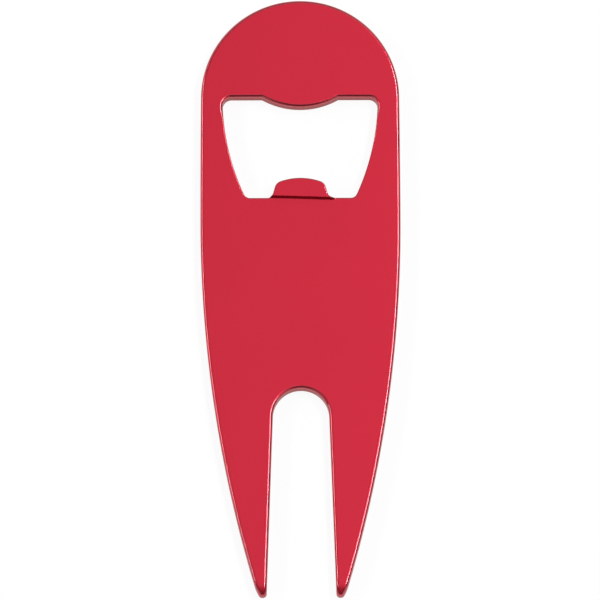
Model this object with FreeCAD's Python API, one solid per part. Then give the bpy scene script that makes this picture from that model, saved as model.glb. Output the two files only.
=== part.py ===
"""Divot repair tool with a crown-cap opener: one flat plate, blanked, pressed, tumbled and anodised.

The plate lies on its back face on the XY plane. +Z points out of the front face, +Y points at the
round head and -Y at the two prongs. The origin is under the middle of the plate, at z = 0.
All lengths are in millimetres.
"""
import FreeCAD, Part
import math
import os

# ---------------------------------------------------------------- driving dimensions
width = 31.75             # across the widest place of the body
length = 95.73            # from the top of the head to the tips of the prongs
thickness = 3.175         # of the plate
edge_round = 0.45         # rounding of every edge of the front and back faces

head_inset = 0.12         # the head is narrower than the widest place by this much on each side
head_drop = 20.05         # from the middle of the head's arc down to the widest place

slot_width = 8.92         # of the slot between the prongs, at its round end
slot_end = 62.56          # from the top of the head to the round end of the slot
slot_flare = 2.1          # degrees that each flank of the slot opens towards the tips
tip_round = 0.66          # rounding of a prong's point
tip_ease = 7.0            # radius that carries the outer side into the point
nose = 2.2                # length over which a prong's point thins down, as seen from the side
nose_end = 1.43           # thickness left at its very end
tip_clear = 0.1808        # by which the arc of the outer side passes clear of the point's rounding

window_top = 15.65        # from the top of the head to the straight upper edge of the cap window
window_height = 16.28     # of the cap window, from its lower to its upper straight edge
window_width = 24.66      # of the cap window, at its widest
window_side_radius = 38.0     # of its two curved sides
window_top_corner = 1.4       # corner radius at the upper edge
window_low_corner = 1.05      # corner radius at the lower edge

fulcrum_depth = 1.58      # of the bulge that bears on the top of a cap
fulcrum_width = 12.1      # of the bulge along the upper edge
fulcrum_blend = 0.6       # where the bulge meets the straight edge

tab_root_width = 9.0      # of the lifting tab where it leaves the lower edge
tab_side_slope = 16.0     # degrees that each side of the tab leans inwards
tab_reach = 3.07          # of the tab beyond the lower edge
tab_end_radius = 9.5      # of the tab's curved end
tab_shoulder = 1.4        # corner radius between the tab's end and its sides
tab_root_blend = 0.9      # corner radius where the tab's sides meet the lower edge
tab_press = 0.9           # height by which the tab is pressed out of the front face
tab_step_gap = -0.04      # from the lower edge of the window up to the middle of the pressed step
tab_step_skew = -1.9      # degrees by which the pressed step is out of square

# ---------------------------------------------------------------- places worked out from them
half_width = width / 2
head_top = length / 2
tip_end = -length / 2
head_radius = half_width - head_inset
head_y = head_top - head_radius
widest_y = head_y - head_drop
slot_radius = slot_width / 2
slot_y = head_top - slot_end - slot_radius
window_top_y = head_top - window_top
window_low_y = window_top_y - window_height
tab_end_y = window_low_y + tab_reach

flare = math.radians(slot_flare)
tip_y = tip_end + tip_round
tip_x = (slot_radius + tip_round) / math.cos(flare) + (slot_y - tip_y) * math.tan(flare)
# the long outer side is an arc, upright at the widest place, that passes just outside the points
tip_hold = tip_round + tip_clear
side_inset = half_width - tip_x
side_radius = ((side_inset ** 2 + (widest_y - tip_y) ** 2 - tip_hold ** 2)
               / (2 * (side_inset - tip_hold)))


def point(x, y, z=0.0):
    return FreeCAD.Vector(x, y, z)


def mirrored(p):
    return point(-p.x, p.y)


def on_circle(centre, radius, towards):
    """The point of a circle that lies on the ray from its centre through another point."""
    ray = towards - centre
    return centre + ray * (radius / ray.Length)


def meet(centre_a, radius_a, centre_b, radius_b):
    """The crossing of two circles that lies further towards +X."""
    line = centre_b - centre_a
    apart = line.Length
    along = (radius_a ** 2 - radius_b ** 2 + apart ** 2) / (2 * apart)
    off = math.sqrt(radius_a ** 2 - along ** 2)
    foot = centre_a + line * (along / apart)
    side = point(-line.y, line.x) * (off / apart)
    return max((foot + side, foot - side), key=lambda p: p.x)


def arc(start, centre, radius, end):
    """The shorter arc of a circle from one point to another."""
    middle = (start + end) * 0.5
    return Part.Arc(start, on_circle(centre, radius, middle), end).toShape()


def line(start, end):
    return Part.LineSegment(start, end).toShape()


def prism(edges, bottom, height):
    """A solid pushed up from a closed outline in the XY plane."""
    outline = Part.Wire(Part.__sortEdges__(edges))
    face = Part.Face(outline)
    face.translate(point(0, 0, bottom))
    return face.extrude(point(0, 0, height))


def upright_edges(solid, places):
    """The vertical edges of a prism that stand at the given places."""
    found = []
    for edge in solid.Edges:
        ends = [v.Point for v in edge.Vertexes]
        if len(ends) == 2 and abs(ends[0].z - ends[1].z) > thickness / 2:
            if any((point(ends[0].x, ends[0].y) - p).Length < 0.01 for p in places):
                found.append(edge)
    return found


def body_outline():
    """Head, long tapering sides, pointed prongs and the slot between them."""
    head = point(0, head_y)
    # a nearly straight arc carries the head into the widest place, tangent to both
    neck_radius = (head_drop ** 2 / head_inset + head_radius + half_width) / 2
    neck = point(half_width - neck_radius, widest_y)
    head_join = on_circle(head, head_radius, head + (head - neck))
    widest = point(half_width, widest_y)

    slot = point(0, slot_y)
    flank_top = slot + point(math.cos(flare), math.sin(flare)) * slot_radius
    tip = point(tip_x, tip_y)
    flank_foot = tip - point(math.cos(flare), math.sin(flare)) * tip_round

    side = point(half_width - side_radius, widest_y)
    ease = meet(side, side_radius - tip_ease, tip, tip_ease - tip_round)
    side_end = on_circle(side, side_radius, ease)
    ease_end = on_circle(ease, tip_ease, tip)
    tip_low = point(tip.x, tip_end)

    edges = [Part.Arc(mirrored(head_join), point(0, head_top), head_join).toShape(),
             Part.Arc(flank_top, point(0, slot_y + slot_radius), mirrored(flank_top)).toShape()]
    for flip in (lambda p: p, mirrored):
        edges += [
            arc(flip(head_join), flip(neck), neck_radius, flip(widest)),
            arc(flip(widest), flip(side), side_radius, flip(side_end)),
            arc(flip(side_end), flip(ease), tip_ease, flip(ease_end)),
            Part.Arc(flip(ease_end), flip(tip_low), flip(flank_foot)).toShape(),
            line(flip(flank_foot), flip(flank_top)),
        ]
    return edges


def cap_window():
    """The opening that goes over a crown cap, with its fulcrum bulge and without its tab."""
    half = window_width / 2
    side = point(half - window_side_radius, window_top_y)
    top = point(half, window_top_y)
    low_x = side.x + math.sqrt(window_side_radius ** 2 - window_height ** 2)
    low = point(low_x, window_low_y)
    bulge = point(fulcrum_width / 2, window_top_y)
    edges = [line(mirrored(low), low),
             Part.Arc(mirrored(bulge), point(0, window_top_y - fulcrum_depth), bulge).toShape()]
    for flip in (lambda p: p, mirrored):
        edges += [arc(flip(top), flip(side), window_side_radius, flip(low)),
                  line(flip(bulge), flip(top))]
    window = prism(edges, 0, thickness)
    for radius, corner in ((window_top_corner, top), (window_low_corner, low), (fulcrum_blend, bulge)):
        window = window.makeFillet(radius, upright_edges(window, [corner, mirrored(corner)]))
    return window, low_x


def lifting_tab(overlap):
    """The tab that catches under a cap's rim, flat, and reaching a little way into the body."""
    lean = math.tan(math.radians(tab_side_slope))
    end = point(0, tab_end_y - tab_end_radius)
    foot = point(tab_root_width / 2 + overlap * lean, window_low_y - overlap)
    # where the leaning side meets the curved end
    a = 1 + lean ** 2
    b = foot.y - end.y - foot.x * lean
    c = foot.x ** 2 + (foot.y - end.y) ** 2 - tab_end_radius ** 2
    rise = (-b + math.sqrt(b ** 2 - a * c)) / a
    shoulder = foot + point(-lean, 1) * rise
    edges = [line(mirrored(foot), foot), line(foot, shoulder), line(mirrored(foot), mirrored(shoulder)),
             arc(shoulder, end, tab_end_radius, mirrored(shoulder))]
    tab = prism(edges, 0, thickness)
    return tab.makeFillet(tab_shoulder, upright_edges(tab, [shoulder, mirrored(shoulder)]))


def thinned_nose(body):
    """Both faces curve in towards the prongs' points as a quarter of an ellipse each."""
    middle = thickness / 2
    centre_y = tip_end + nose
    drop = (thickness - nose_end) / 2

    def quarter(rise):
        face_z = middle + rise * middle
        end_z = middle + rise * nose_end / 2
        bend = math.sqrt(0.5)
        on_curve = point(0, centre_y - nose * bend, end_z + rise * drop * bend)
        # three points of the ellipse and its flat start make one smooth curve
        curve = Part.BSplineCurve()
        near = point(0, centre_y - nose * math.sin(math.radians(20)),
                     end_z + rise * drop * math.cos(math.radians(20)))
        far = point(0, centre_y - nose * math.sin(math.radians(70)),
                    end_z + rise * drop * math.cos(math.radians(70)))
        curve.interpolate([point(0, centre_y, face_z), near, on_curve, far, point(0, tip_end, end_z)],
                          InitialTangent=point(0, -1, 0), FinalTangent=point(0, 0, -rise))
        return curve.toShape()

    low, high = middle - nose_end / 2, middle + nose_end / 2
    edges = [quarter(1), quarter(-1),
             line(point(0, tip_end, low), point(0, tip_end, high)),
             line(point(0, centre_y, 0), point(0, centre_y, thickness))]
    side_face = Part.Face(Part.Wire(Part.__sortEdges__(edges)))
    side_face.translate(point(-width, 0, 0))
    kept = side_face.extrude(point(2 * width, 0, 0))
    block = Part.makeBox(2 * width, 2 * nose, thickness, point(-width, centre_y - 2 * nose, 0))
    return body.cut(block.cut(kept))


def face_edges(solid):
    """All edges that lie in the front or the back face of the plate."""
    return [e for e in solid.Edges
            if e.BoundBox.ZLength < 1e-6 and (abs(e.BoundBox.ZMin) < 1e-6
                                              or abs(e.BoundBox.ZMin - thickness) < 1e-6)]


def tool_body():
    """The blank with its rounded edges, then the tab pressed out of the front face."""
    window, window_low_x = cap_window()
    plate = prism(body_outline(), 0, thickness).cut(window).fuse(lifting_tab(1.0)).removeSplitter()
    root = point(tab_root_width / 2, window_low_y)
    plate = plate.makeFillet(tab_root_blend, upright_edges(plate, [root, mirrored(root)]))
    plate = thinned_nose(plate.makeFillet(edge_round, face_edges(plate)))

    # everything beyond the step line, inside the window, is the pressed tab
    press = Part.makeBox(window_low_x * 2, window_height, thickness,
                         point(-window_low_x, window_low_y + tab_step_gap, 0))
    press.rotate(point(0, window_low_y + tab_step_gap), point(0, 0, 1), tab_step_skew)
    fence = Part.makeBox(tab_root_width + 2 * tab_root_blend, window_height / 2, thickness,
                         point(-tab_root_width / 2 - tab_root_blend, window_low_y - tab_root_blend, 0))
    beyond = press.common(fence)
    tab = plate.common(beyond)
    body = plate.cut(beyond)
    tab.translate(point(0, 0, tab_press))
    return body.fuse(tab).removeSplitter()


os.makedirs("parts", exist_ok=True)
shape = tool_body()
solid = shape.Solids[0] if len(shape.Solids) == 1 else shape
print("tool_body", solid.ShapeType, "solids", len(shape.Solids), "valid", solid.isValid(),
      "volume", round(solid.Volume, 1), "box", solid.BoundBox)
solid.exportStep("parts/tool_body.step")
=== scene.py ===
"""A red anodised divot repair tool with a crown-cap opener, on a pale table under soft studio light.

The plate's surface is worked out with numpy: one edge profile carried along the outline and along
the edge of the cap window, and two flat faces that close it. Lengths of the properties are in
millimetres, the mesh is in metres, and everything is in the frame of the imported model.
"""

import bpy
import numpy as np
from bpy.props import FloatProperty, FloatVectorProperty, IntProperty, PointerProperty
from bpy.types import Operator, Panel, PropertyGroup
from mathutils import Matrix, Vector
from mathutils.geometry import delaunay_2d_cdt


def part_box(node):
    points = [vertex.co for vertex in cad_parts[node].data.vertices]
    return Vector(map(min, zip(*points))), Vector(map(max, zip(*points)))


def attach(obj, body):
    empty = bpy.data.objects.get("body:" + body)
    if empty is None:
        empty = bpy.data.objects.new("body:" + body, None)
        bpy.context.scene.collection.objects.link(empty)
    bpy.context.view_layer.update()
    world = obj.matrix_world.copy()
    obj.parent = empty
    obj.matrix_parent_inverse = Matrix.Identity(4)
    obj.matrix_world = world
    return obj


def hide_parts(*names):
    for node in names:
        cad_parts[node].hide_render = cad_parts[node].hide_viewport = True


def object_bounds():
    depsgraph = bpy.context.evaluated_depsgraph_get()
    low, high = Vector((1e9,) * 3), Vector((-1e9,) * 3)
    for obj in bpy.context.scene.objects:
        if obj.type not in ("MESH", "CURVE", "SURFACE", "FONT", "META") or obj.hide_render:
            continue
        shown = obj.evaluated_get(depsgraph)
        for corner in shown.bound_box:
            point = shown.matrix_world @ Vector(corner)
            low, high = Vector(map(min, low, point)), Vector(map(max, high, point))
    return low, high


bl_info = {
    "name": "Divot Repair Tool",
    "version": (1, 0, 0),
    "blender": (4, 5, 0),
    "location": "3D View > Sidebar > Divot Tool",
    "description": "Builds an anodised divot repair tool with a cap opener, and its studio",
    "category": "Object",
}

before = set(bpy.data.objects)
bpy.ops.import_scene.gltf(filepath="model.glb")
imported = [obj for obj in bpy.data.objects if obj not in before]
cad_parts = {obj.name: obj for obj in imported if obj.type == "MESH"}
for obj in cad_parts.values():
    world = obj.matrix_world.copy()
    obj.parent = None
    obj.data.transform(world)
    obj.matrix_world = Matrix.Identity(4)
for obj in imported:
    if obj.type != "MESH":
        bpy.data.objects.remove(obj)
CAD_BOX = [list(corner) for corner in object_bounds()]
PLATE_NODE = "tool_body"
MM = 0.001
LOW, HIGH = (np.array(corner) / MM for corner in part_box(PLATE_NODE))
FACE, EDGE, WALL = range(3)

# sizes that no user would change, in millimetres unless it says metres
GUARD_GAP = 0.04           # from an edge rounding to the ring that keeps the face flat
FULL_ROUND_DEPTH = 1.5     # below the window's upper edge, down to which its rounding is full
ROUND_FADE = 2.5           # length over which the rounding then falls to the crisp share
STEP_SIDE_GAP = 0.2        # beside the tab's root blend, where the pressed lift has ended
STEP_SIDE_FADE = 0.8       # length over which the lift fades out there
FLOOR_GAP = 0.00002        # metres between the plate and the table
TABLE_HALF = 4.0           # metres from the middle of the table to its edge


# ---------------------------------------------------------------- colours and nodes
def linear(hex_colour):
    """An sRGB hex value as a linear RGBA tuple."""
    channels = [int(hex_colour[i:i + 2], 16) / 255 for i in (0, 2, 4)]
    return tuple(c / 12.92 if c <= 0.04045 else ((c + 0.055) / 1.055) ** 2.4 for c in channels) + (1.0,)


def add_node(tree, kind, settings=None, inputs=None):
    """Adds a node; settings are its properties, inputs are socket values or output sockets to link."""
    node = tree.nodes.new(kind)
    for name, value in (settings or {}).items():
        setattr(node, name, value)
    for name, value in (inputs or {}).items():
        if isinstance(value, bpy.types.NodeSocket):
            tree.links.new(value, node.inputs[name])
        else:
            node.inputs[name].default_value = value
    return node


# ---------------------------------------------------------------- properties
def millimetres(name, description, default, low=0.01, high=500.0):
    return FloatProperty(name=name, description=description, default=default, min=low, max=high,
                         precision=3)


class PlateSizes(PropertyGroup):
    """Sizes of the blanked and pressed plate, in millimetres."""
    width: millimetres("Width", "Across the widest place of the body", float(HIGH[0] - LOW[0]))
    length: millimetres("Length", "From the top of the head to the prong tips", float(HIGH[1] - LOW[1]))
    thickness: millimetres("Thickness", "Of the plate, away from the pressed tab", 3.175)
    edge_round: millimetres("Edge round", "Radius that tumbling leaves on every edge", 0.45)
    head_inset: millimetres("Head inset", "How much narrower the head is, on each side", 0.12)
    head_drop: millimetres("Head drop", "From the middle of the head's arc to the widest place", 20.05)
    side_radius: millimetres("Side radius", "Of the long tapering sides", 203.0, high=2000.0)
    tip_round: millimetres("Tip round", "Rounding of a prong's point", 0.66)
    tip_ease: millimetres("Tip ease", "Radius that carries the side into the point", 7.0)
    nose: millimetres("Nose", "Length over which a prong's point thins down", 2.2)
    nose_end: millimetres("Nose end", "Thickness left at the very end of a prong", 1.43)
    slot_width: millimetres("Slot width", "Of the slot at its round end", 8.92)
    slot_end: millimetres("Slot end", "From the top of the head to the slot's round end", 62.56)
    slot_flare: FloatProperty(name="Slot flare", description="Angle that each flank opens by, in degrees",
                              default=2.1)
    window_top: millimetres("Window top", "From the top of the head to the window's upper edge", 15.65)
    window_height: millimetres("Window height", "Between the window's straight edges", 16.28)
    window_width: millimetres("Window width", "Of the cap window at its widest", 24.66)
    window_side_radius: millimetres("Window side radius", "Of the window's curved sides", 38.0)
    window_top_corner: millimetres("Upper corners", "Corner radius at the upper edge", 1.4)
    window_low_corner: millimetres("Lower corners", "Corner radius at the lower edge", 1.05)
    fulcrum_depth: millimetres("Fulcrum depth", "Of the bulge that bears on the cap", 1.58)
    fulcrum_width: millimetres("Fulcrum width", "Of the bulge along the edge", 12.1)
    fulcrum_blend: millimetres("Fulcrum blend", "Where the bulge meets the straight edge", 0.6)
    tab_root_width: millimetres("Tab width", "Of the lifting tab at its root", 9.0)
    tab_lean: FloatProperty(name="Tab lean", description="Angle that the tab's sides lean in, in degrees",
                            default=16.0)
    tab_reach: millimetres("Tab reach", "Of the tab beyond the lower edge", 3.07)
    tab_end_radius: millimetres("Tab end radius", "Of the tab's curved end", 9.5)
    tab_shoulder: millimetres("Tab shoulder", "Corner radius beside the tab's end", 1.4)
    tab_root_blend: millimetres("Tab root blend", "Corner radius at the tab's root", 0.9)
    tab_press: millimetres("Tab press", "Height by which the tab is pressed up", 0.9)
    tab_step_gap: millimetres("Step place", "From the lower edge up to the pressed step", -0.04, low=-2.0)
    tab_step_run: millimetres("Step run", "Length over which the step rises", 0.32)
    tab_step_skew: FloatProperty(name="Step skew", default=-1.9,
                                 description="How far the step is out of square, in degrees")
    crisp_share: FloatProperty(name="Crisp share", default=0.4, min=0.05, max=1.0,
                               description="Share of the edge round that the window's sides and tab keep")
    profile_steps: IntProperty(name="Profile steps", description="Segments of each edge rounding",
                               default=8, min=2, max=32)


class FinishColours(PropertyGroup):
    """Colours of the dyed anodic film, as linear colour."""
    film: FloatVectorProperty(name="Film", description="Dyed film on the faces", subtype="COLOR",
                              size=4, default=linear("BF2438"), min=0, max=1)
    film_deep: FloatVectorProperty(name="Deep film", description="Film where the dye took more",
                                   subtype="COLOR", size=4, default=linear("BA2237"), min=0, max=1)


class StageSettings(PropertyGroup):
    """The table, the camera and the lamps."""
    elevation: FloatProperty(name="Elevation", description="Of the camera above the table, in degrees",
                             default=80.0)
    roll: FloatProperty(name="Roll", description="Turn of the camera about its own view, in degrees",
                        default=-0.17)
    distance: FloatProperty(name="Distance", description="From the camera to the plate", default=1.5,
                            unit="LENGTH")
    view_height: FloatProperty(name="View height", description="Height of the picture at the plate",
                               default=0.09505, unit="LENGTH")
    table: FloatVectorProperty(name="Table", description="Colour of the table", subtype="COLOR", size=4,
                               default=linear("F4F4F4"), min=0, max=1)


# ---------------------------------------------------------------- outlines
def arc_run(centre, radius, start, end, spacing):
    """Points and outward normals of an arc, from angle start to angle end in radians.

    p = c + r (cos a, sin a). Metal lies to the left of travel, so the outward normal is the ray
    from the centre on a counter-clockwise arc, and its opposite on a clockwise one.
    """
    count = max(3, int(np.ceil(abs(end - start) * radius / spacing)) + 1)
    angle = np.linspace(start, end, count)
    ray = np.stack([np.cos(angle), np.sin(angle)], axis=1)
    return np.asarray(centre) + radius * ray, ray * np.sign(end - start)


def line_run(start, end, spacing):
    """Points and outward normals of a straight edge, with the metal to the left of travel."""
    start, end = np.asarray(start, float), np.asarray(end, float)
    travel = end - start
    size = np.linalg.norm(travel)
    share = np.linspace(0, 1, max(2, int(np.ceil(size / spacing)) + 1))[:, None]
    normal = np.array([travel[1], -travel[0]]) / size
    return start + share * travel, np.repeat(normal[None], len(share), axis=0)


def mirror_run(run):
    """The run of the other side: x turned round, and the order too, so the metal stays to the left."""
    flip = np.array([-1.0, 1.0])
    return run[0][::-1] * flip, run[1][::-1] * flip


def close_runs(runs):
    """Joins runs end to end into one closed loop, dropping each run's repeated last point."""
    return (np.concatenate([points[:-1] for points, _ in runs]),
            np.concatenate([normals[:-1] for _, normals in runs]))


def bearing(centre, towards):
    """Angle of the ray from one point to another."""
    return float(np.arctan2(towards[1] - centre[1], towards[0] - centre[0]))


def circles_meet(centre_a, radius_a, centre_b, radius_b):
    """The crossing of two circles that lies further towards +X."""
    line = centre_b - centre_a
    apart = np.linalg.norm(line)
    along = (radius_a ** 2 - radius_b ** 2 + apart ** 2) / (2 * apart)
    off = np.sqrt(radius_a ** 2 - along ** 2)
    foot = centre_a + line * along / apart
    side = np.array([-line[1], line[0]]) * off / apart
    return foot + side if side[0] > 0 else foot - side


def body_loop(size):
    """Outline of head, sides, prongs and slot, counter-clockwise.

    Right half from the slot's end to the top of the head: the slot's flank is a straight line, the
    point a small arc, then an easing arc, the long side arc and a nearly straight arc that runs
    into the head's arc. Each is tangent to the next. The left half is its mirror image.
    """
    half = size.width / 2
    head_radius = half - size.head_inset
    head = np.array([0.0, HIGH[1] - head_radius])
    widest_y = head[1] - size.head_drop
    neck_radius = (size.head_drop ** 2 / size.head_inset + head_radius + half) / 2
    neck = np.array([half - neck_radius, widest_y])
    side = np.array([half - size.side_radius, widest_y])
    flare = np.radians(size.slot_flare)
    slot_radius = size.slot_width / 2
    slot = np.array([0.0, HIGH[1] - size.slot_end - slot_radius])
    tip_y = LOW[1] + size.tip_round
    tip = np.array([(slot_radius + size.tip_round) / np.cos(flare)
                    + (slot[1] - tip_y) * np.tan(flare), tip_y])
    ease = circles_meet(side, size.side_radius - size.tip_ease, tip, size.tip_ease - size.tip_round)
    across = np.array([np.cos(flare), np.sin(flare)])
    ease_turn = bearing(ease, tip)
    side_turn = bearing(side, ease)
    head_turn = bearing(neck, head)
    right = [
        arc_run(slot, slot_radius, np.pi / 2, flare, 0.2),
        line_run(slot + across * slot_radius, tip - across * size.tip_round, 0.35),
        arc_run(tip, size.tip_round, flare - np.pi, ease_turn, 0.05),
        arc_run(ease, size.tip_ease, ease_turn, side_turn, 0.12),
        arc_run(side, size.side_radius, side_turn, 0.0, 0.4),
        arc_run(neck, neck_radius, 0.0, head_turn, 0.5),
        arc_run(head, head_radius, head_turn, np.pi / 2, 0.25),
    ]
    return close_runs(right + [mirror_run(run) for run in reversed(right)])


def window_loop(size):
    """Edge of the cap window with its fulcrum and its tab, clockwise, so the metal is to the left.

    Right half from the middle of the fulcrum to the middle of the tab's end: bulge, blend, straight
    edge, corner, side arc, corner, straight edge, root blend, leaning side, shoulder, end arc.
    """
    half = size.window_width / 2
    top = HIGH[1] - size.window_top
    low = top - size.window_height
    side = np.array([half - size.window_side_radius, top])

    half_bulge = size.fulcrum_width / 2
    bulge_radius = (half_bulge ** 2 + size.fulcrum_depth ** 2) / (2 * size.fulcrum_depth)
    bulge = np.array([0.0, top - size.fulcrum_depth + bulge_radius])
    blend_y = top - size.fulcrum_blend
    blend = np.array([np.sqrt((bulge_radius + size.fulcrum_blend) ** 2 - (bulge[1] - blend_y) ** 2),
                      blend_y])

    def corner(radius, y):
        reach = np.sqrt((size.window_side_radius - radius) ** 2 - (y - side[1]) ** 2)
        return np.array([side[0] + reach, y])

    upper = corner(size.window_top_corner, top - size.window_top_corner)
    lower = corner(size.window_low_corner, low + size.window_low_corner)

    lean = np.radians(size.tab_lean)
    up_side = np.array([-np.sin(lean), np.cos(lean)])
    out_side = np.array([np.cos(lean), np.sin(lean)])
    foot = np.array([size.tab_root_width / 2, low])
    root_y = low + size.tab_root_blend
    root = foot + out_side * size.tab_root_blend
    root = root + up_side * (root_y - root[1]) / up_side[1]
    end = np.array([0.0, low + size.tab_reach - size.tab_end_radius])
    # the shoulder's centre lies inside the leaning side and inside the end arc, tangent to both
    inner = foot - out_side * size.tab_shoulder
    b = (inner - end) @ up_side
    rise = -b + np.sqrt(b ** 2 - (inner - end) @ (inner - end)
                        + (size.tab_end_radius - size.tab_shoulder) ** 2)
    shoulder = inner + up_side * rise

    bulge_turn = bearing(bulge, blend)
    side_turn_high, side_turn_low = bearing(side, upper), bearing(side, lower)
    end_turn = bearing(end, shoulder)
    right = [
        arc_run(bulge, bulge_radius, -np.pi / 2, bulge_turn, 0.2),
        arc_run(blend, size.fulcrum_blend, bulge_turn + np.pi, np.pi / 2, 0.08),
        line_run((blend[0], top), (upper[0], top), 0.35),
        arc_run(upper, size.window_top_corner, np.pi / 2, side_turn_high, 0.12),
        arc_run(side, size.window_side_radius, side_turn_high, side_turn_low, 0.25),
        arc_run(lower, size.window_low_corner, side_turn_low, -np.pi / 2, 0.1),
        line_run((lower[0], low), (root[0], low), 0.15),
        arc_run(root, size.tab_root_blend, -np.pi / 2, lean - np.pi, 0.03),
        line_run(root - out_side * size.tab_root_blend, shoulder + out_side * size.tab_shoulder, 0.04),
        arc_run(shoulder, size.tab_shoulder, lean, end_turn, 0.06),
        arc_run(end, size.tab_end_radius, end_turn, np.pi / 2, 0.12),
    ]
    return close_runs(right + [mirror_run(run) for run in reversed(right)])


# ---------------------------------------------------------------- surfaces
def smooth_step(t):
    """3t^2 - 2t^3, which leaves 0 and reaches 1 without a slope."""
    return t ** 2 * (3 - 2 * t)


def edge_profile(size):
    """Insets and heights of the edge, from the back face round to the front face.

    A quarter circle of radius r stands at each face: inset = r (1 - sin a), height = r (1 - cos a).
    A guard ring just inside each face keeps the flat faces flat to the light. The finish numbers
    say which material lies between a ring and the next.
    """
    turn = np.linspace(0, np.pi / 2, size.profile_steps + 1)
    inset = size.edge_round * (1 - np.sin(turn))
    height = size.edge_round * (1 - np.cos(turn))
    guard = size.edge_round + GUARD_GAP
    wall = np.linspace(size.edge_round, size.thickness - size.edge_round, 5)[1:-1]
    insets = np.concatenate([[guard], inset, np.zeros(len(wall)), inset[::-1], [guard]])
    heights = np.concatenate([[0], height, wall, size.thickness - height[::-1], [size.thickness]])
    finish = np.repeat([FACE, EDGE, WALL, EDGE, FACE],
                       [1, size.profile_steps, len(wall) + 1, size.profile_steps, 1])
    return insets, heights, finish


def press_and_thin(points, size):
    """Lifts the tab and thins the prong points.

    The tab's lift is press x s(t), where s is the smooth step and t runs from 0 to 1 across the
    step line, and beside the tab's root it fades out with the same step. A prong's point is
    squeezed towards the middle of the plate's thickness by the quarter ellipse
    sqrt(1 - (1 - y / nose)^2), down to the thickness of the nose end.
    """
    x, y, z = points.T
    low = HIGH[1] - size.window_top - size.window_height
    skew = np.radians(size.tab_step_skew)
    across = (y - low - size.tab_step_gap) * np.cos(skew) - x * np.sin(skew)
    share = np.clip(across / size.tab_step_run + 0.5, 0, 1)
    side_end = size.tab_root_width / 2 + size.tab_root_blend + STEP_SIDE_GAP
    beside = np.clip((side_end - np.abs(x)) / STEP_SIDE_FADE, 0, 1)
    near_tab = y < low + size.tab_reach + 1
    lift = size.tab_press * smooth_step(share) * smooth_step(beside) * near_tab

    reach = np.clip((y - LOW[1]) / size.nose, 0, 1)
    least = size.nose_end / size.thickness
    keep = least + (1 - least) * np.sqrt(1 - (1 - reach) ** 2)
    middle = size.thickness / 2
    return np.stack([x, y, middle + (z - middle) * keep + lift], axis=1)


def rounding_share(points, size):
    """How much of the edge round each point of the window's edge keeps.

    Tumbling reaches the window's upper edge best: 1 there, and down the sides it falls to the crisp
    share by the smooth step.
    """
    top = HIGH[1] - size.window_top
    t = np.clip((top - points[:, 1] - FULL_ROUND_DEPTH) / ROUND_FADE, 0, 1)
    return 1 - (1 - size.crisp_share) * smooth_step(t)


def carried_edge(loop, size, share, first):
    """The edge profile carried along a loop: a grid of rings, closed along the loop.

    Vertex (i, j) is loop point i moved in by inset j along its normal, at height j, with the inset
    and the distance from the nearer face both multiplied by that point's share. Returns the
    vertices, the quads with outward faces, the finish of each quad, and the numbers of the back
    and the front ring.
    """
    points, normals = loop
    insets, heights, finish = edge_profile(size)
    count, rings = len(points), len(insets)
    flat = points[None] - normals[None] * insets[:, None, None] * share[None, :, None]
    level = np.where(heights[:, None] < size.thickness / 2, heights[:, None] * share[None],
                     size.thickness - (size.thickness - heights[:, None]) * share[None])[..., None]
    vertices = np.concatenate([flat, level], axis=2).reshape(-1, 3)
    number = first + np.arange(rings * count).reshape(rings, count)
    following = np.roll(number, -1, axis=1)
    quads = np.stack([number[:-1], following[:-1], following[1:], number[1:]], axis=2).reshape(-1, 4)
    return vertices, quads, np.repeat(finish, count), number[0], number[-1]


def step_points(size):
    """Points in the flat face along the pressed step, close enough to carry its curve."""
    low = HIGH[1] - size.window_top - size.window_height
    skew = np.radians(size.tab_step_skew)
    reach = size.tab_root_width / 2 + size.tab_root_blend + 0.4
    along = np.linspace(-reach, reach, 75)
    across = np.linspace(-0.7, 0.7, 29) * size.tab_step_run
    u, v = (grid.ravel() for grid in np.meshgrid(along, across))
    return np.stack([u * np.cos(skew) - v * np.sin(skew),
                     low + size.tab_step_gap + u * np.sin(skew) + v * np.cos(skew)], axis=1)


def inside_loop(points, loop):
    """Which points lie inside a closed loop, by counting crossings of a ray towards +X."""
    start, end = loop, np.roll(loop, -1, axis=0)
    y = points[:, 1][:, None]
    crosses = (start[None, :, 1] > y) != (end[None, :, 1] > y)
    rise = np.where(end[:, 1] == start[:, 1], 1.0, end[:, 1] - start[:, 1])
    at_x = start[None, :, 0] + (y - start[None, :, 1]) * ((end[:, 0] - start[:, 0]) / rise)[None]
    return (np.count_nonzero(crosses & (points[:, 0][:, None] < at_x), axis=1) % 2) == 1


def face_fill(outer, window, extra):
    """Triangles of the flat face between two rings, with extra points worked in.

    All arguments are arrays of 2D points. Returns the triangles as numbers into outer + window +
    extra, counter-clockwise.
    """
    rings = [len(outer), len(window)]
    number = np.arange(sum(rings))
    ends = np.concatenate([np.roll(number[:rings[0]], -1), np.roll(number[rings[0]:], -1)])
    everything = np.concatenate([outer, window, extra])
    found = delaunay_2d_cdt([Vector(p) for p in everything.tolist()],
                            np.stack([number, ends], axis=1).tolist(), [], 0, 1e-7)
    origin = np.array([source[0] for source in found[3]])
    corners = origin[np.array(found[2])]
    middle = everything[corners].mean(axis=1)
    kept = corners[inside_loop(middle, outer) & ~inside_loop(middle, window)]
    a, b, c = (everything[kept[:, i]] for i in range(3))
    turn = (b[:, 0] - a[:, 0]) * (c[:, 1] - a[:, 1]) - (b[:, 1] - a[:, 1]) * (c[:, 0] - a[:, 0])
    kept[turn < 0] = kept[turn < 0][:, ::-1]
    return kept


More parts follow.
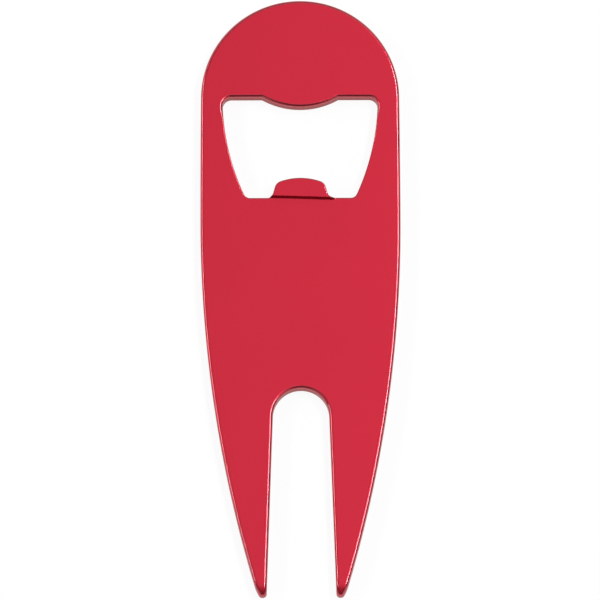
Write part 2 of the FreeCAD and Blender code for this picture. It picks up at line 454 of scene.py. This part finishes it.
def plate_surface(size):
    """The whole closed surface of the plate: two carried edges and two filled faces."""
    outer, window = body_loop(size), window_loop(size)
    outer_share, window_share = np.ones(len(outer[0])), rounding_share(window[0], size)
    outer_points, outer_quads, outer_finish, outer_back, outer_front = carried_edge(
        outer, size, outer_share, 0)
    window_points, window_quads, window_finish, window_back, window_front = carried_edge(
        window, size, window_share, len(outer_points))
    edges = np.concatenate([outer_points, window_points])
    guard = edge_profile(size)[0][0]
    outer_ring = outer[0] - outer[1] * guard
    window_ring = window[0] - window[1] * guard * window_share[:, None]
    extra = step_points(size)
    clear = inside_loop(extra, outer_ring) & ~inside_loop(extra, window_ring)
    extra = extra[clear]
    triangles = face_fill(outer_ring, window_ring, extra)
    first = len(edges)
    levels = (0.0, size.thickness)
    layers = [np.column_stack([extra, np.full(len(extra), level)]) for level in levels]
    vertices = np.concatenate([edges] + layers)
    back = np.concatenate([outer_back, window_back, first + np.arange(len(extra))])
    front = np.concatenate([outer_front, window_front, first + len(extra) + np.arange(len(extra))])
    faces = outer_quads.tolist() + window_quads.tolist()
    faces += front[triangles].tolist() + back[triangles][:, ::-1].tolist()
    finish = np.concatenate([outer_finish, window_finish, np.full(2 * len(triangles), FACE)])
    return press_and_thin(vertices, size) * MM, faces, finish


def mesh_piece(name, vertices, faces):
    """A smooth-shaded object at the origin, with its place in its mesh."""
    mesh = bpy.data.meshes.new(name)
    mesh.from_pydata(vertices.tolist(), [], faces)
    mesh.polygons.foreach_set("use_smooth", [True] * len(mesh.polygons))
    mesh.update()
    piece = bpy.data.objects.new(name, mesh)
    bpy.context.scene.collection.objects.link(piece)
    return piece


# ---------------------------------------------------------------- materials
def anodic_film(name, colours, roughness, relief, coat):
    """Aluminium under a thin dyed anodic film, with the relief and the gloss of one kind of surface.

    The metal under the film gives a coloured, softly mirror-like reflection, and the hard clear
    surface of the sealed film adds a white one on top. relief is a pattern size in millimetres
    across the surface, one along Z and a depth; coat is the clear reflection's strength and IOR.
    """
    material = bpy.data.materials.new(name)
    material.use_nodes = True
    tree = material.node_tree
    tree.nodes.clear()
    place = add_node(tree, "ShaderNodeTexCoord").outputs["Object"]
    across, upright, depth = relief
    stretch = add_node(tree, "ShaderNodeMapping", {}, {
        "Vector": place, "Scale": (1 / (across * MM), 1 / (across * MM), 1 / (upright * MM))})
    grain = add_node(tree, "ShaderNodeTexNoise", {}, {"Vector": stretch.outputs[0], "Scale": 1.0,
                                                      "Detail": 3.0, "Roughness": 0.6})
    # dye takes up unevenly over about 12 mm
    cloud = add_node(tree, "ShaderNodeTexNoise", {}, {"Vector": place, "Scale": 1 / (12 * MM),
                                                      "Detail": 2.0, "Roughness": 0.5})
    tint = add_node(tree, "ShaderNodeMix", {"data_type": "RGBA"},
                    {0: cloud.outputs["Fac"], 6: colours.film, 7: colours.film_deep})
    rough = add_node(tree, "ShaderNodeMapRange", {}, {
        "Value": grain.outputs["Fac"], "From Min": 0.3, "From Max": 0.7,
        "To Min": roughness[0], "To Max": roughness[1]})
    bump = add_node(tree, "ShaderNodeBump", {}, {"Height": grain.outputs["Fac"], "Strength": 0.12,
                                                 "Distance": depth * MM})
    shader = add_node(tree, "ShaderNodeBsdfPrincipled", {}, {
        "Base Color": tint.outputs[2], "Metallic": 1.0, "Roughness": rough.outputs[0],
        "Normal": bump.outputs[0], "Specular Tint": linear("A8323C"),
        "Coat Weight": coat[0], "Coat Roughness": 0.08, "Coat IOR": coat[1]})
    add_node(tree, "ShaderNodeOutputMaterial", {}, {"Surface": shader.outputs[0]})
    return material


def anodised_finishes(colours):
    """The surfaces of a blanked, tumbled, etched and anodised plate, in the order FACE, EDGE, WALL."""
    return [
        # faces etched to a satin: an even grain of about 0.15 mm, drawn coarser than the real
        # 0.05 mm so that it shows
        anodic_film("anodised_etched_face", colours, (0.46, 0.54), (0.15, 0.15, 0.02), (0.45, 1.5)),
        # edges rubbed smooth by tumbling before the film grew, so that the dense oxide, whose IOR
        # is about 1.7, shows a tight bright line of light
        anodic_film("anodised_tumbled_edge", colours, (0.28, 0.34), (0.3, 0.3, 0.01), (1.0, 1.7)),
        # walls left by the blanking punch: fine upright shear marks about 0.2 mm apart
        anodic_film("anodised_sheared_wall", colours, (0.28, 0.42), (0.2, 4.0, 0.12), (0.3, 1.5)),
    ]


def table_laminate(stage):
    """White matt laminate. It shows itself as white to the camera and in reflections, and keeps shadows."""
    material = bpy.data.materials.new("white_matt_laminate")
    material.use_nodes = True
    tree = material.node_tree
    tree.nodes.clear()
    path = add_node(tree, "ShaderNodeLightPath")
    seen = add_node(tree, "ShaderNodeMath", {"operation": "MAXIMUM"},
                    {0: path.outputs["Is Camera Ray"], 1: path.outputs["Is Glossy Ray"]})
    seen = add_node(tree, "ShaderNodeMath", {"operation": "MAXIMUM"},
                    {0: seen.outputs[0], 1: path.outputs["Is Transmission Ray"]})
    matt = add_node(tree, "ShaderNodeBsdfDiffuse", {}, {"Color": tuple(stage.table)})
    shade = add_node(tree, "ShaderNodeBsdfDiffuse", {}, {"Color": (0.09, 0.09, 0.09, 1)})
    glow = add_node(tree, "ShaderNodeEmission", {}, {"Color": (1, 1, 1, 1), "Strength": 0.92})
    shown = add_node(tree, "ShaderNodeAddShader", {}, {0: shade.outputs[0], 1: glow.outputs[0]})
    mixed = add_node(tree, "ShaderNodeMixShader", {}, {0: seen.outputs[0], 1: matt.outputs[0],
                                                       2: shown.outputs[0]})
    add_node(tree, "ShaderNodeOutputMaterial", {}, {"Surface": mixed.outputs[0]})
    return material


# ---------------------------------------------------------------- operators
class DIVOT_OT_plate(Operator):
    """Build the anodised plate with its cap window, pressed tab and prongs"""
    bl_idname = "divot.plate"
    bl_label = "Plate"

    def execute(self, context):
        scene = context.scene
        vertices, faces, finish = plate_surface(scene.divot_sizes)
        plate = mesh_piece("anodised_plate", vertices, faces)
        for material in anodised_finishes(scene.divot_colours):
            plate.data.materials.append(material)
        # the numbers go in last, because a mesh without materials keeps only the first
        plate.data.polygons.foreach_set("material_index", finish.astype(np.int32))
        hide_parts(PLATE_NODE)
        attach(plate, "root")
        return {"FINISHED"}


def softbox(name, place, aim, size, radiance):
    """A rectangular lamp of a given size in metres that shows the given radiance to the plate."""
    lamp = bpy.data.lights.new(name, "AREA")
    lamp.shape = "RECTANGLE"
    lamp.size, lamp.size_y = size
    # a flat lamp of this area that gives off E watts shows E / (pi x area)
    lamp.energy = radiance * np.pi * size[0] * size[1]
    item = bpy.data.objects.new(name, lamp)
    item.location = place
    item.rotation_euler = (Vector(aim) - Vector(place)).to_track_quat("-Z", "Y").to_euler()
    bpy.context.scene.collection.objects.link(item)
    return item


def strip(name, tilt, radiance):
    """A long narrow softbox beside the plate, tilted from the zenith by an angle in degrees."""
    reach, forward, turn = 1.2, 0.14, np.radians(tilt)
    place = (reach * np.sin(turn), forward, reach * np.cos(turn))
    return softbox(name, place, (0, forward, 0), (0.6, 0.15), radiance)


class DIVOT_OT_stage(Operator):
    """Set up the table, the soft lamps, the surroundings and the camera"""
    bl_idname = "divot.stage"
    bl_label = "Stage"

    def execute(self, context):
        scene = context.scene
        stage = scene.divot_stage
        low, high = (Vector(corner) for corner in CAD_BOX)
        middle = (low + high) / 2

        floor_z = low.z - FLOOR_GAP
        corners = np.array([[-1, -1], [1, -1], [1, 1], [-1, 1]]) * TABLE_HALF
        table = mesh_piece("table", np.column_stack([corners, np.full(4, floor_z)]), [(0, 1, 2, 3)])
        table.data.materials.append(table_laminate(stage))

        softbox("softbox_overhead", (0, 0.26, 1.0), (0, 0.26, 0), (0.42, 0.9), 0.45)
        strip("strip_left", -46, 14.0)
        strip("strip_right", 21.5, 25.0)

        world = bpy.data.worlds.new("studio")
        scene.world = world
        world.use_nodes = True
        tree = world.node_tree
        tree.nodes.clear()
        ray = add_node(tree, "ShaderNodeTexCoord").outputs["Generated"]
        ray = add_node(tree, "ShaderNodeSeparateXYZ", {}, {0: ray})
        # pale walls up to 10 degrees, pale corners up to 40 degrees, a grey backdrop towards +Y,
        # and a dim room above them
        corner = add_node(tree, "ShaderNodeMath", {"operation": "MULTIPLY"},
                          {0: ray.outputs["X"], 1: ray.outputs["Y"]})
        corner = add_node(tree, "ShaderNodeMath", {"operation": "ABSOLUTE"}, {0: corner.outputs[0]})
        corner = add_node(tree, "ShaderNodeMapRange", {"interpolation_type": "SMOOTHSTEP"},
                          {"Value": corner.outputs[0], "From Min": 0.2, "From Max": 0.36,
                           "To Min": 0.1, "To Max": 0.9})
        wall = add_node(tree, "ShaderNodeMapRange", {"interpolation_type": "SMOOTHSTEP"},
                        {"Value": ray.outputs["Z"], "From Min": 0.14, "From Max": 0.3,
                         "To Min": 0.9, "To Max": 0.1})
        pale = add_node(tree, "ShaderNodeMath", {"operation": "MAXIMUM"},
                        {0: corner.outputs[0], 1: wall.outputs[0]})
        behind = add_node(tree, "ShaderNodeMapRange", {"interpolation_type": "SMOOTHSTEP"},
                          {"Value": ray.outputs["Y"], "From Min": 0.3, "From Max": 0.6,
                           "To Min": 0.1, "To Max": 0.45})
        pale = add_node(tree, "ShaderNodeMath", {"operation": "MAXIMUM"},
                        {0: pale.outputs[0], 1: behind.outputs[0]})
        back = add_node(tree, "ShaderNodeBackground", {}, {"Color": (1, 1, 1, 1),
                                                           "Strength": pale.outputs[0]})
        add_node(tree, "ShaderNodeOutputWorld", {}, {"Surface": back.outputs[0]})

        camera = bpy.data.cameras.new("camera")
        camera.sensor_width = 36.0
        camera.lens = camera.sensor_width * stage.distance / stage.view_height
        camera.clip_end = 20
        item = bpy.data.objects.new("camera", camera)
        lift = np.radians(stage.elevation)
        # the plate lies a little off the middle of the picture
        aim = middle + Vector((-0.00011, -0.00034, 0))
        item.matrix_world = (Matrix.Translation(aim + Vector((0, -np.cos(lift), np.sin(lift)))
                                                * stage.distance)
                             @ Matrix.Rotation(np.pi / 2 - lift, 4, "X")
                             @ Matrix.Rotation(np.radians(stage.roll), 4, "Z"))
        scene.collection.objects.link(item)
        scene.camera = item
        scene.view_settings.view_transform = "Standard"
        return {"FINISHED"}


class DIVOT_PT_panel(Panel):
    """Lists the steps that build the tool and its studio"""
    bl_idname = "DIVOT_PT_panel"
    bl_label = "Divot Repair Tool"
    bl_space_type = "VIEW_3D"
    bl_region_type = "UI"
    bl_category = "Divot Tool"

    def draw(self, context):
        column = self.layout.column()
        for group in (context.scene.divot_sizes, context.scene.divot_colours, context.scene.divot_stage):
            for name in group.bl_rna.properties.keys():
                if name not in {"rna_type", "name"}:
                    column.prop(group, name)
        for step in STEPS:
            column.operator(step.bl_idname)


STEPS = (DIVOT_OT_plate, DIVOT_OT_stage)
CLASSES = (PlateSizes, FinishColours, StageSettings) + STEPS + (DIVOT_PT_panel,)


def register():
    for item in CLASSES:
        bpy.utils.register_class(item)
    bpy.types.Scene.divot_sizes = PointerProperty(type=PlateSizes)
    bpy.types.Scene.divot_colours = PointerProperty(type=FinishColours)
    bpy.types.Scene.divot_stage = PointerProperty(type=StageSettings)


def unregister():
    del bpy.types.Scene.divot_sizes, bpy.types.Scene.divot_colours, bpy.types.Scene.divot_stage
    for item in reversed(CLASSES):
        bpy.utils.unregister_class(item)


def main():
    register()
    bpy.ops.divot.plate()
    bpy.ops.divot.stage()


if __name__ == "__main__":
    main()
